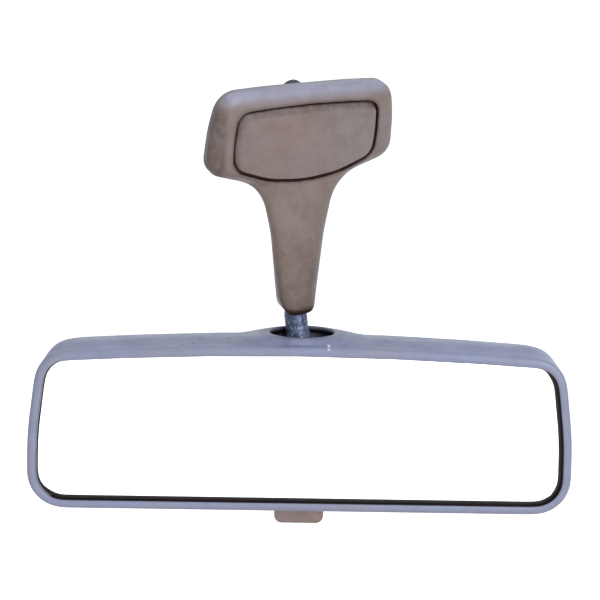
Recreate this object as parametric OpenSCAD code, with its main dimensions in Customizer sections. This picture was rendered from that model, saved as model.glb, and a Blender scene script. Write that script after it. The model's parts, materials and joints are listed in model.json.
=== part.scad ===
// Interior rearview mirror: a roof base with a moulded arm, a ball stud, and a
// day/night mirror head. The origin is the middle of the base's back face. The
// head is level and looks along -Y; the arm is turned in that frame.

/* [Head] */
// Width of the head across its lower corners
head_w = 248; // [200:1:280]
// How much narrower the head is across its upper corners, each side
head_taper = 5.5; // [0:0.5:10]
// Height of the head's front at its middle
head_h = 76.6; // [74:0.2:80]
// Rise of the top edge from its corners to its middle
crown_rise = 3.6; // [1:0.2:5]
// Swell of the housing's top behind the rim
top_swell = 2.3; // [1.5:0.1:3]
// Depth of the housing at its middle
head_d = 34; // [33:0.5:40]
// Radius of the two lower corners
low_corner_r = 17; // [12:1:24]
// Radius of the two upper corners
top_corner_r = 15; // [12:1:20]
// Width of the rounded rim round the glass
rim_w = 4.5; // [3.5:0.5:6]
// Depth from the rim's front to the glass
recess = 3.4; // [2.5:0.1:4]
// Wall of the housing
wall = 2; // [1.6:0.2:2.6]

/* [Glass] */
// Thickness of the prism glass at its lower edge
glass_thin = 2.2; // [1.8:0.1:3]
// Wedge angle of the prism glass
prism_angle = 2; // [1:0.1:2.5]

/* [Ball joint] */
// Radius of the ball
ball_r = 6.5; // [6:0.1:6.8]
// Radius of the stud's neck
neck_r = 5.3; // [4:0.1:5.4]
// Length from the arm's end to the ball's centre
neck_l = 23.2; // [22:0.2:26]
// Angle between the neck and the arm
neck_bend = 23; // [15:1:30]
// Sideways angle between the neck and the arm
neck_side = 3.4; // [0:0.2:4]
// Gap between the sliding shells
shell_gap = 0.3; // [0.2:0.05:0.4]

/* [Arm and base] */
// Width of the base across its lower corners
base_w = 92.5; // [86:0.5:100]
// Width of the base across its upper corners
base_top_w = 82.5; // [76:0.5:90]
// Height of the base above its centre
base_up = 20.4; // [20.4:0.2:24]
// Height of the base below its centre, at its corners
base_down = 17.2; // [17:0.2:20]
// Thickness of the base
base_d = 8; // [8:0.2:10]
// Length of the arm, from the base's centre to the arm's end
arm_l = 89.8; // [88:0.2:91]
// Angle between the base's face and the arm
arm_lean = 9; // [6:1:12]
// Turn of the base and arm from the head, about X, Y and Z
arm_turn = [21, -6.2, 28];

/* [Roof fixing] */
// Distance between the two roof screws
screw_circle = 28; // [26:1:32]
// Radius of a roof screw
screw_r = 2.1; // [1.5:0.1:2.2]
// Length of a roof screw behind the base
screw_out = 12; // [8:1:20]
// Radius of the locating spigot
spigot_r = 6; // [4:0.1:6]
// Length of the spigot behind the base
spigot_l = 11.5; // [5:0.5:14]

/* [Day and night lever] */
// Width of the tab
tab_w = 23; // [18:0.5:24]
// How far the tab reaches below the lever's pin
tab_l = 16.4; // [12:0.2:18]
// Radius of the lever's pin
pin_r = 1.5; // [1.2:0.1:1.6]

/* [Hidden] */
$fn = 48;
eps = 0.01;
hull_fn = 32;
fit = 0.05;                 // radial clearance of a running pin
far = 60;                   // longer than any cut has to be

// places in the head's frame: X across, Y back from the rim, Z up
head_low = -39.4;           // lower edge of the head
head_top = head_low + head_h;
ball_in_head = [0, 20, 26];
mouth_y = 18;               // middle of the oval mouth, front to back
mouth_half = [14.7, 10.6];
boss_rise = 2;              // rise of the boss round the mouth
lever_at = [0, 12, -32];
arm_plate_y = 13.6;         // front of the tilt arm's strip

// places in the arm's frame: X across, Y back, Z up along the base's face
stem_root = [0, 0.2, 0];    // where the arm's axis would meet the base
stem_up = [0, sin(arm_lean), cos(arm_lean)];
neck_lean = arm_lean + neck_bend;
neck_turn = [-neck_lean, neck_side, 0];
neck_up = [cos(neck_lean) * sin(neck_side), sin(neck_lean), cos(neck_lean) * cos(neck_side)];
arm_end = stem_root - arm_l * stem_up;
ball_in_arm = arm_end - neck_l * neck_up;

function about_x(a, p) = [p.x, p.y * cos(a) - p.z * sin(a), p.y * sin(a) + p.z * cos(a)];
function about_y(a, p) = [p.x * cos(a) + p.z * sin(a), p.y, p.z * cos(a) - p.x * sin(a)];
function about_z(a, p) = [p.x * cos(a) - p.y * sin(a), p.x * sin(a) + p.y * cos(a), p.z];
function turned(p) = about_z(arm_turn.z, about_y(arm_turn.y, about_x(arm_turn.x, p)));
ball_at = turned(ball_in_arm);
head_at = ball_at - ball_in_head;

module in_arm() rotate(arm_turn) children();
module in_head() translate(head_at) children();
module at_ball() translate(ball_at) children();
module both_sides() {
    children();
    mirror([1, 0, 0]) children();
}
// a round post along Y from y0, with its axis at x, z
module post(x, z, r, y0, len, fn = hull_fn)
    translate([x, y0, z]) rotate([-90, 0, 0]) cylinder(h = len, r = r, $fn = fn);
// a round bar along X, centred
module cross_bar(r, len) rotate([0, 90, 0]) cylinder(h = len, r = r, center = true);
// a box given by its lowest and highest corners
module span(low, high) translate(low) cube(high - low);

// ---- base and arm ----
base_posts = [[base_w / 2 - 8, 8 - base_down, 8], [base_top_w / 2 - 11, base_up - 13, 11],
    [12, base_up - 20, 20]];
cap_posts = [[29, 4.6, 6.5], [27.5, -9, 8], [4, -5.9, 18.6]];
edge_t = 3.5;               // thickness of the base at its edge
cap_front = -base_d - 0.6;
cap_floor = -base_d + 2.6;
recess_y = -4;              // floor of the base's back recess
plate_half = 30;
plate_z = [-13, 16.6];      // lower and upper edge of that recess
plate_t = 2;
screw_z = 4;
// slices of the stem: [distance below the base's centre, half width, front, back]
stem_slices = [[13, 34, -7.4, -0.4], [29, 21, -8.9, -0.4], [45, 13.2, -13.4, -0.6],
    [79, 9.8, -19.3, -5.1], [88.5, 6.9, -20.7, -7.3]];

// posts of an outline, each side, grown by more
module posts(list, more, y0, len)
    both_sides() for (p = list) post(p[0], p[1], p[2] + more, y0, len);

module stem_slice(s) translate([0, (s[2] + s[3]) / 2, -s[0]])
    scale([s[1], (s[3] - s[2]) / 2, 1]) cylinder(h = 0.2, r = 1, $fn = hull_fn);

module base_body() hull() {
    posts(base_posts, 0, -edge_t, edge_t);
    posts(base_posts, -4, -base_d, 1);
}

module arm_shell() color("#8a7d77") in_arm() difference() {
    union() {
        base_body();
        hull() for (i = [0, 1]) stem_slice(stem_slices[i]);
        hull() for (i = [1, 2]) stem_slice(stem_slices[i]);
        hull() for (i = [2, 3, 4]) stem_slice(stem_slices[i]);
    }
    hull() posts(cap_posts, 0.5, cap_front - 1, cap_floor - cap_front + 1);
    span([-plate_half, recess_y, plate_z[0]], [plate_half, far, plate_z[1]]);
    at_screws() rotate([90, 0, 0]) translate([0, 0, -1]) cylinder(h = far, r = screw_r * 2.2);
    cap_sites() rotate([90, 0, 0]) cylinder(h = far, r = 2);
    stud_body();
    translate(stud_pin_at) cross_bar(2, far);
}

module at_screws() for (side = [-1, 1]) translate([side * screw_circle / 2, 0, screw_z]) children();
module cap_sites() for (x = [-23, 23]) translate([x, 0, 0]) children();

module cap_panel() color("#8c807a") in_arm() {
    hull() {
        posts(cap_posts, 0, cap_floor - 1.6, 1.6 - eps);
        posts(cap_posts, -2, cap_front, 1);
    }
    cap_sites() translate([0, cap_floor - 0.2, 0]) rotate([-90, 0, 0])
        cylinder(h = recess_y - cap_floor + 1.3, r = 1.5);
}

// push-on clips that grip the cap's two pegs
module cap_clips() color("#6e7074") in_arm() cap_sites()
    translate([0, recess_y + 0.1, 0]) rotate([-90, 0, 0]) difference() {
        cylinder(h = 0.6, r = 4.2);
        translate([0, 0, -1]) cylinder(h = 3, r = 1.5 + fit);
    }

module base_plate() color("#77797c") in_arm() difference() {
    span([-plate_half + 0.3, -plate_t, plate_z[0] + 0.3], [plate_half - 0.3, 0, plate_z[1] - 0.3]);
    at_screws() rotate([90, 0, 0]) cylinder(h = far, r = shoulder_r, center = true);
    translate([0, 0, spigot_z]) rotate([90, 0, 0]) cylinder(h = far, r = root_r, center = true);
}
spigot_z = 9.8;
root_r = spigot_r + 0.4;    // the spigot's root, which fills its hole in the plate
lead_in = 1;                // chamfer at the spigot's end
module roof_spigot() color("#23262e") in_arm() translate([0, -plate_t, spigot_z]) rotate([-90, 0, 0])
    rotate_extrude() polygon([[0, 0], [root_r, 0], [root_r, plate_t], [spigot_r, plate_t],
        [spigot_r, plate_t + spigot_l - lead_in], [spigot_r - lead_in, plate_t + spigot_l],
        [0, plate_t + spigot_l]]);

screw_top = -4.2;           // top of the screws' heads
shoulder_r = screw_r + 0.3; // the screws' shoulder, which fills its hole in the plate
module roof_screws() color("#8e8f92") in_arm() at_screws() difference() {
    union() {
        rotate([-90, 0, 0]) cylinder(h = screw_out, r = screw_r);
        translate([0, screw_top, 0]) rotate([-90, 0, 0]) cylinder(h = -screw_top, r = shoulder_r);
        translate([0, screw_top, 0]) rotate([-90, 0, 0]) cylinder(h = -screw_top - plate_t, r = screw_r * 1.9);
    }
    for (a = [0, 90]) translate([0, screw_top, 0]) rotate([0, a, 0]) cube([5, 2, 0.9], center = true);
}

// ---- ball stud ----
shank_r = 4;
shank_l = 34;
stud_pin_at = arm_end + 20 * stem_up;
// outline of the neck and its collar: [radius, distance from the ball's centre]
neck_line = [[0, 0], [4, 0], [4, 10.2], [6.4, 11.3], [6.4, 11.8], [neck_r, 15], [neck_r, neck_l], [0, neck_l]];

module stud_body() {
    translate(ball_in_arm) rotate(neck_turn) {
        sphere(r = ball_r);
        rotate_extrude() polygon(neck_line);
    }
    translate(arm_end) sphere(r = neck_r - 0.2);
    translate(arm_end) rotate([-arm_lean, 0, 0]) cylinder(h = shank_l, r = shank_r);
}

module ball_stud() color("#5c6680") in_arm() difference() {
    stud_body();
    translate(stud_pin_at) cross_bar(2, far);
}

module stud_pin() color("#9a9a9c") in_arm() translate(stud_pin_at) cross_bar(2, 20);

// ---- ball joint shells and socket ----
liner_r = [ball_r + shell_gap, ball_r + shell_gap + 0.7];
ring_r = [liner_r[1] + shell_gap, liner_r[1] + shell_gap + 0.7];
socket_r = ring_r[1] + shell_gap;

// part of a hollow ball between two heights
module shell_zone(radii, low, high) difference() {
    sphere(r = radii[1]);
    sphere(r = radii[0]);
    translate([-far / 2, -far / 2, high]) cube(far);
    translate([-far / 2, -far / 2, low - far]) cube(far);
}

module ball_liner() color("#d8d4c8") at_ball() shell_zone(liner_r, -far, 3);
module friction_ring() color("#b9b3a2") at_ball() shell_zone(ring_r, -6, 3);

socket_half = [15, 10.2];
socket_low = -11;
socket_split = 1.8;
trunnion_r = 1.6;
screw_sites = [for (x = [-11.6, 11.6], y = [-7.4, 7.4]) [x, y]];

module socket_body() color("#4a4d52") at_ball() difference() {
    span([-socket_half.x, -socket_half.y, socket_low], [socket_half.x, socket_half.y, socket_split]);
    sphere(r = socket_r);
    for (s = screw_sites) translate([s.x, s.y, -7]) cylinder(h = far, r = 1.2);
    cross_bar(trunnion_r, far);
    rotate([-90, 0, 0]) cylinder(h = far, r = 1.2);
}

module socket_cap() color("#585b60") at_ball() difference() {
    span([-socket_half.x, -socket_half.y, socket_split], [socket_half.x, socket_half.y, 4.2]);
    sphere(r = socket_r);
    translate([0, 0, 2.8]) cylinder(h = 3, r1 = 8.4, r2 = 11);
    for (s = screw_sites) translate([s.x, s.y, 0]) cylinder(h = far, r = 1.2);
}

module clamp_screws() color("#a2a3a6") at_ball() for (s = screw_sites) translate([s.x, s.y, 0]) {
    translate([0, 0, -6]) cylinder(h = 11.7, r = 1.2);
    translate([0, 0, 4.2]) cylinder(h = 1.5, r = 2.2);
}

module trunnion_pins() color("#a9aaad") at_ball() both_sides()
    translate([10.5, 0, 0]) rotate([0, 90, 0]) cylinder(h = 12.5, r = trunnion_r);

// strip that carries the head's tilt down to the lever
strip_half = 8;
strip_low = lever_at.z + 5;
flange_z = ball_in_head.z + socket_low;
rivet_sites = [-5, 5];
module tilt_arm() color("#6f7276") in_head() difference() {
    union() {
        span([-strip_half, arm_plate_y, strip_low], [strip_half, arm_plate_y + 1.6, flange_z]);
        span([-strip_half, arm_plate_y, flange_z - 1.6], [strip_half, 29, flange_z]);
    }
    for (x = rivet_sites) translate([x, 24, 0]) cylinder(h = far, r = 1.4);
}

module arm_rivets() color("#8f9194") in_head() for (x = rivet_sites) translate([x, 24, flange_z]) {
    translate([0, 0, -3]) cylinder(h = 3, r = 1.4);
    translate([0, 0, -3]) cylinder(h = 1.4, r = 2.4);
}

// ---- head ----
half_w = head_w / 2;
end_top = head_top - crown_rise;
// outline posts of the head: [x, z, radius]
head_posts = [
    [half_w - low_corner_r, head_low + low_corner_r, low_corner_r],
    [half_w - head_taper - top_corner_r, end_top - top_corner_r, top_corner_r],
    [half_w * 0.45, head_top - crown_rise * 0.22 - top_corner_r, top_corner_r],
    [0.1, head_top - top_corner_r, top_corner_r]];
// the same outline shrunk towards its middle, and its upper posts raised
function shrunk(fx, fz, less, up) =
    [for (p = head_posts) [p[0] * fx, p[1] * fz + (p[1] > 0 ? up : 0), p[2] - less]];
swell_posts = shrunk(0.985, 0.97, 1, top_swell + 1.7);
back_posts = shrunk(0.55, 0.62, 0, 6.2);
swell_y = [12, 18];
back_y = 24;
rim_round = 1.6;

boss_top = head_top + top_swell + boss_rise;
// oval of the mouth or its boss, upright, grown by more
module oval(more, z0, len, fn = 48) translate([0, mouth_y, z0]) linear_extrude(len)
    scale([mouth_half.x + more, mouth_half.y + more]) circle(r = 1, $fn = fn);

module tab_slot() span([-tab_w / 2 - 1, 4.6, -far], [tab_w / 2 + 1, 17, -34]);

module housing_shell() color("#8f94ae") in_head() difference() {
    union() {
        hull() {
            posts(head_posts, -rim_round, 0, 1);
            posts(head_posts, 0, rim_round, 6);
            posts(swell_posts, 0, swell_y[0], swell_y[1] - swell_y[0]);
            posts(back_posts, 0, back_y, head_d - back_y);
        }
        hull() {
            oval(2.5, boss_top - 3, 3, hull_fn);
            translate([0, mouth_y, boss_top - 9]) scale([32, 14.5, 1]) cylinder(h = 5, r = 1, $fn = hull_fn);
        }
    }
    hull() {
        posts(head_posts, -wall, recess + 0.01, 4);
        posts(swell_posts, -wall, swell_y[0], swell_y[1] - swell_y[0] - wall);
        posts(back_posts, -wall, back_y, head_d - back_y - wall);
    }
    hull() posts(head_posts, -rim_w, -1, recess + 2);
    oval(0, 30, far);
    tab_slot();
}

module hinge_brackets() color("#7b7e83") in_head() both_sides() difference() {
    translate([0, ball_in_head.y, ball_in_head.z]) union() {
        span([18.4, -6, -7], [20, head_d - wall - 20.4, 6]);
        span([18.4, head_d - wall - 22, -7], [29, head_d - wall - 20.4, 6]);
    }
    translate([0, ball_in_head.y, ball_in_head.z]) cross_bar(trunnion_r + fit, far);
    translate([25, 0, ball_in_head.z]) rotate([-90, 0, 0]) cylinder(h = far, r = 1.4);
}

module bracket_rivets() color("#8f9194") in_head() both_sides()
    translate([25, head_d - wall - 3.4, ball_in_head.z]) rotate([-90, 0, 0]) {
        cylinder(h = 1.4, r = 2.4);
        cylinder(h = 3, r = 1.4);
    }

// glass with a flat front and a back that slopes, thicker at the top
glass_y = recess + 0.05;
module behind_prism(extra) translate([0, glass_y + glass_thin + extra, head_low + 4])
    rotate([-prism_angle, 0, 0]) translate([-200, 0, -50]) cube([400, 60, 200]);

module glass_sheet(y0, y1, less) hull() posts(head_posts, -less, y0, y1 - y0);

module mirror_glass() color("#dfe6ea") in_head() difference() {
    glass_sheet(glass_y, glass_y + 8, wall + 1.3);
    behind_prism(0);
}
module mirror_silvering() color("#3a3d40") in_head() intersection() {
    difference() {
        glass_sheet(glass_y, glass_y + 8, wall + 1.3);
        behind_prism(0.2);
    }
    behind_prism(0);
}
module foam_pad() color("#2c2d30") in_head() intersection() {
    difference() {
        glass_sheet(glass_y, glass_y + 8, wall + 5);
        behind_prism(0.9);
        span([-20, 0, -60], [20, 20, -27]);
    }
    behind_prism(0.2);
}
module glass_gasket() color("#33251f") in_head() difference() {
    glass_sheet(glass_y, glass_y + 2.6, wall + 0.1);
    glass_sheet(0, far, wall + 1.3);
    span([-tab_w / 2 - 1, 0, -far], [tab_w / 2 + 1, far, -34]);
}

// ---- day and night lever ----
ear_x = tab_w / 2 + 2.4;
module lever_bracket() color("#74777b") in_head() translate(lever_at) difference() {
    union() {
        both_sides() span([ear_x, -4, -3], [ear_x + 1.4, 6.2, 4]);
        span([-ear_x, 5, -2.2], [ear_x, 6.2, 2.6]);
    }
    cross_bar(pin_r, far);
}
module lever_pin() color("#a9aaad") in_head() translate(lever_at) cross_bar(pin_r, 2 * ear_x + 4.4);

module toggle_spring() color("#84868a") in_head()
    span([-8, 7.5, -31.5], [8, 8, -21]);

barrel_r = 3.2;
tab_corner = 4;
module toggle_lever() color("#85766f") in_head() translate(lever_at) difference() {
    union() {
        cross_bar(barrel_r, tab_w);
        span([-3, -1.2, 0], [3, 1.2, 8.6]);
        translate([0, -1.8, 0]) hull() both_sides() {
            post(tab_w / 2 - tab_corner, tab_corner - tab_l, tab_corner, 0, 3.6);
            post(tab_w / 2 - tab_corner, -4, tab_corner - 0.5, 0, 3.6);
        }
    }
    cross_bar(pin_r + fit, far);
}

arm_shell();
cap_panel();
cap_clips();
base_plate();
roof_spigot();
roof_screws();
ball_stud();
stud_pin();
ball_liner();
friction_ring();
socket_body();
socket_cap();
clamp_screws();
trunnion_pins();
tilt_arm();
arm_rivets();
housing_shell();
hinge_brackets();
bracket_rivets();
mirror_glass();
mirror_silvering();
glass_gasket();
foam_pad();
lever_bracket();
lever_pin();
toggle_spring();
toggle_lever();
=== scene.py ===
"""Looks of an interior rearview mirror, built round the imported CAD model.

Shapes are made in millimetres in the head's frame or the arm's frame, X across, Y back and Z up in
each, and a Place puts them into the row frame in metres.
"""
import json
import math

import bmesh
import bpy
import numpy as np
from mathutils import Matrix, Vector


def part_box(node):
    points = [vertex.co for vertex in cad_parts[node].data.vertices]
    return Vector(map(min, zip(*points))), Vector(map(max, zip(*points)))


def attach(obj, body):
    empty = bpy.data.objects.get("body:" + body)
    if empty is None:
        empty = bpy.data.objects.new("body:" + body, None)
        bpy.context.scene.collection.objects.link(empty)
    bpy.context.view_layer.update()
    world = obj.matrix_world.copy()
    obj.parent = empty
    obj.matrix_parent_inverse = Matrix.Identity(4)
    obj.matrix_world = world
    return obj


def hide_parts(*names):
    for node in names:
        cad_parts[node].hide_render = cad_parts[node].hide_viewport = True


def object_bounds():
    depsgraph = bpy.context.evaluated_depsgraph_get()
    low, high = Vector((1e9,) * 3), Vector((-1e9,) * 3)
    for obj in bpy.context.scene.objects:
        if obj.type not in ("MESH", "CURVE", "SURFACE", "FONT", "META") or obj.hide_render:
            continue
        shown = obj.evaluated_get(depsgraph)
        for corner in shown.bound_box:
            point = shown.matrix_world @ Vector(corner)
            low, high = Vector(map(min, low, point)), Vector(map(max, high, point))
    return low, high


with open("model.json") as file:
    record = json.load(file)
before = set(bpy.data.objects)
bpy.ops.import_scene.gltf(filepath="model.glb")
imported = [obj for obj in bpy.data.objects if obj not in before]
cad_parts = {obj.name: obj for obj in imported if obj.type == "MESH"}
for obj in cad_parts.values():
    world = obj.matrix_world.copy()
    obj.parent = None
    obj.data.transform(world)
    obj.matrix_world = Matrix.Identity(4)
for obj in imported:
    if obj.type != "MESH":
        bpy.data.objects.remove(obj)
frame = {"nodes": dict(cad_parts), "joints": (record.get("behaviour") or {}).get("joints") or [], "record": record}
cad_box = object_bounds()

MM = 0.001
JOINTS = {j["name"]: np.array(j["pos_m"]) / MM for j in frame["joints"]}
AXES = {j["name"]: j["axis"] for j in frame["joints"]}
MOUNTS = {m["name"]: m for m in frame["record"]["mounts"]}


# ---- places ----
class Place:
    """A local frame in millimetres: its origin and its three axes in the row frame."""

    def __init__(self, origin, axes):
        self.origin = np.array(origin, float)
        self.axes = np.array(axes, float)

    def out(self, points):
        return (np.asarray(points, float) @ self.axes + self.origin) * MM

    def back(self, points):
        return (np.asarray(points, float) / MM - self.origin) @ self.axes.T


def unit(v):
    v = np.asarray(v, float)
    return v / np.linalg.norm(v)


HOUSING_LOW, HOUSING_HIGH = (np.array(c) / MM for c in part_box("housing_shell"))
BALL = JOINTS["head_nod"]
LOW_EDGE = -39.4            # lower edge of the head below its origin
HEAD = Place((BALL[0], HOUSING_LOW[1], HOUSING_LOW[2] - LOW_EDGE), np.eye(3))
HALF_W = (HOUSING_HIGH[0] - HOUSING_LOW[0]) / 2
HEAD_D = HOUSING_HIGH[1] - HOUSING_LOW[1]


def arm_place():
    """The arm's frame: Y out of the mounting face, Z from the screws to the spigot."""
    back = unit(MOUNTS["roof_face"]["axis"])
    rise = np.array(MOUNTS["spigot"]["pos_m"]) - np.array(MOUNTS["roof_studs"]["pos_m"])
    up = unit(rise - back * (rise @ back))
    return Place((0, 0, 0), [np.cross(back, up), back, up])


ARM = arm_place()
NECK_UP = ARM.axes @ unit(AXES["head_swivel"])
BALL_IN_ARM = ARM.back(BALL * MM)


# ---- lines in a plane ----
ARC_STEP = 0.8              # distance between the points of an arc
CORNER_SHARE = 0.49         # share of an edge that one corner's arc may take
STRAIGHT = 1e-3             # a corner this near to straight has no arc
CURVE_END = 20              # how far a curve of depths runs on past its knots
CURVE_POINTS = 800
CURVE_BLUR = 3.0


def rounded(corners):
    """A closed line through corners (x, z, radius), each rounded by an arc."""
    line = []
    for i, (x, z, r) in enumerate(corners):
        p = np.array([x, z])
        before = np.array(corners[i - 1][:2]) - p
        after = np.array(corners[(i + 1) % len(corners)][:2]) - p
        room = CORNER_SHARE * min(np.linalg.norm(before), np.linalg.norm(after))
        u, v = unit(before), unit(after)
        half = math.acos(np.clip(u @ v, -1, 1)) / 2
        if half > math.pi / 2 - STRAIGHT:
            line.append(p)
            continue
        r = min(r, room * math.tan(half))
        centre = p + unit(u + v) * r / math.sin(half)
        start = p + u * r / math.tan(half) - centre
        end = p + v * r / math.tan(half) - centre
        a = math.atan2(start[1], start[0])
        turn = math.remainder(math.atan2(end[1], end[0]) - a, math.tau)
        for t in np.linspace(0, 1, max(2, int(abs(turn) * r / ARC_STEP) + 1)):
            line.append(centre + r * np.array([math.cos(a + turn * t), math.sin(a + turn * t)]))
    return np.array(line)


def spaced(line, count, closed=False):
    """count points at even distances along a line."""
    line = np.vstack([line, line[:1]]) if closed else np.asarray(line, float)
    run = np.concatenate([[0], np.cumsum(np.linalg.norm(np.diff(line, axis=0), axis=1))])
    at = np.linspace(0, run[-1], count, endpoint=not closed)
    return np.stack([np.interp(at, run, line[:, k]) for k in range(line.shape[1])], -1)


def bell(width):
    """Weights that fall off over about width points each way and add up to 1."""
    reach = int(3 * width)
    weights = np.exp(-0.5 * (np.arange(-reach, reach + 1) / width) ** 2)
    return weights / weights.sum()


def softened(line, width):
    """A closed, evenly spaced line smoothed over about width points each way."""
    weights = bell(width)
    reach = len(weights) // 2
    return sum(w * np.roll(line, k, axis=0) for k, w in zip(range(-reach, reach + 1), weights))


def outward(line):
    """Unit normals of a closed line that runs counter-clockwise in x, z."""
    run = np.roll(line, -1, axis=0) - np.roll(line, 1, axis=0)
    run /= np.linalg.norm(run, axis=1)[:, None]
    return np.stack([run[:, 1], -run[:, 0]], -1)


def smooth(a, b, x):
    """A soft step from 0 at a to 1 at b."""
    t = np.clip((np.asarray(x, float) - a) / (b - a), 0, 1)
    return t * t * (3 - 2 * t)


def both_sides(right):
    """Right-hand corners from the bottom up, as a whole counter-clockwise outline."""
    return right + [(-x, z, r) for x, z, r in reversed(right) if x > 0]


def curve_of(knots):
    """A smooth function that runs near its (position, value) knots."""
    at, values = zip(*knots)
    fine = np.linspace(at[0] - CURVE_END, at[-1] + CURVE_END, CURVE_POINTS)
    weights = bell(CURVE_BLUR / (fine[1] - fine[0]))
    raw = np.pad(np.interp(fine, at, values), len(weights) // 2, mode="edge")
    soft = np.convolve(raw, weights, mode="valid")
    return lambda x: np.interp(x, fine, soft)


# ---- meshes ----
WELD = 0.02                 # points nearer than this become one
SLIVER = 0.002              # edges shorter than this are dissolved


class Shape:
    """Points, faces and per-point values of one mesh."""

    def __init__(self):
        self.points, self.faces, self.tags = [], [], {}

    def add(self, points, **tags):
        """Adds points with their tags, and gives back their numbers."""
        start = len(self.points)
        self.points.extend(np.asarray(points, float).tolist())
        for name in sorted(set(self.tags) | set(tags)):
            values = self.tags.setdefault(name, [])
            values.extend([0.0] * (start - len(values)))
            values.extend(np.broadcast_to(tags.get(name, 0.0), len(points)).tolist())
        return np.arange(start, len(self.points))

    def strip(self, a, b, closed=True):
        """Faces between two rings of the same length."""
        last = len(a) if closed else len(a) - 1
        for i in range(last):
            j = (i + 1) % len(a)
            self.faces.append((a[i], a[j], b[j], b[i]))

    def fill(self, ring):
        self.faces.append(tuple(ring))

    def rings(self, rings, closed=True, **tags):
        rows = [self.add(r, **{k: v[i] for k, v in tags.items()}) for i, r in enumerate(rings)]
        for a, b in zip(rows, rows[1:]):
            self.strip(a, b, closed)
        return rows

    def solid(self, rings, **tags):
        """Closed rings with both ends filled."""
        rows = self.rings(rings, **tags)
        self.fill(rows[0])
        self.fill(rows[-1])

    def mirrored(self):
        """Adds the other half, across x = 0."""
        count = len(self.points)
        self.points += [[-x, y, z] for x, y, z in self.points]
        for values in self.tags.values():
            values.extend([0.0] * (count - len(values)))
            values.extend(values[:count])
        self.faces += [tuple(i + count for i in reversed(f)) for f in self.faces]

    def piece(self, name, place, body, nodes, material, sharp):
        """The finished object: welded, smooth up to the sharp angle, and tied to its CAD body and nodes."""
        mesh = bpy.data.meshes.new(name)
        mesh.from_pydata(place.out(self.points).tolist(), [], self.faces)
        for tag, values in self.tags.items():
            values.extend([0.0] * (len(self.points) - len(values)))
            mesh.attributes.new(tag, "FLOAT", "POINT").data.foreach_set("value", values)
        bm = bmesh.new()
        bm.from_mesh(mesh)
        bmesh.ops.remove_doubles(bm, verts=bm.verts, dist=WELD * MM)
        bmesh.ops.dissolve_degenerate(bm, edges=bm.edges, dist=SLIVER * MM)
        bmesh.ops.recalc_face_normals(bm, faces=bm.faces)
        bm.to_mesh(mesh)
        bm.free()
        mesh.polygons.foreach_set("use_smooth", [True] * len(mesh.polygons))
        mesh.set_sharp_from_angle(angle=math.radians(sharp))
        obj = bpy.data.objects.new(name, mesh)
        bpy.context.scene.collection.objects.link(obj)
        mesh.materials.append(material)
        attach(obj, body)
        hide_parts(*nodes)
        return obj


def at_depth(line, y):
    """Points of a line in x, z at depth y, one depth or one each."""
    return np.stack([line[:, 0], np.broadcast_to(y, len(line)), line[:, 1]], -1)


# ---- materials ----
MARK_CORE = 0.35            # share of a mark's width where it is at its full strength
PLASTIC_GRAIN = 0.45
PLASTIC_SHINE = (0.34, 0.5)  # least and most roughness


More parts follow.
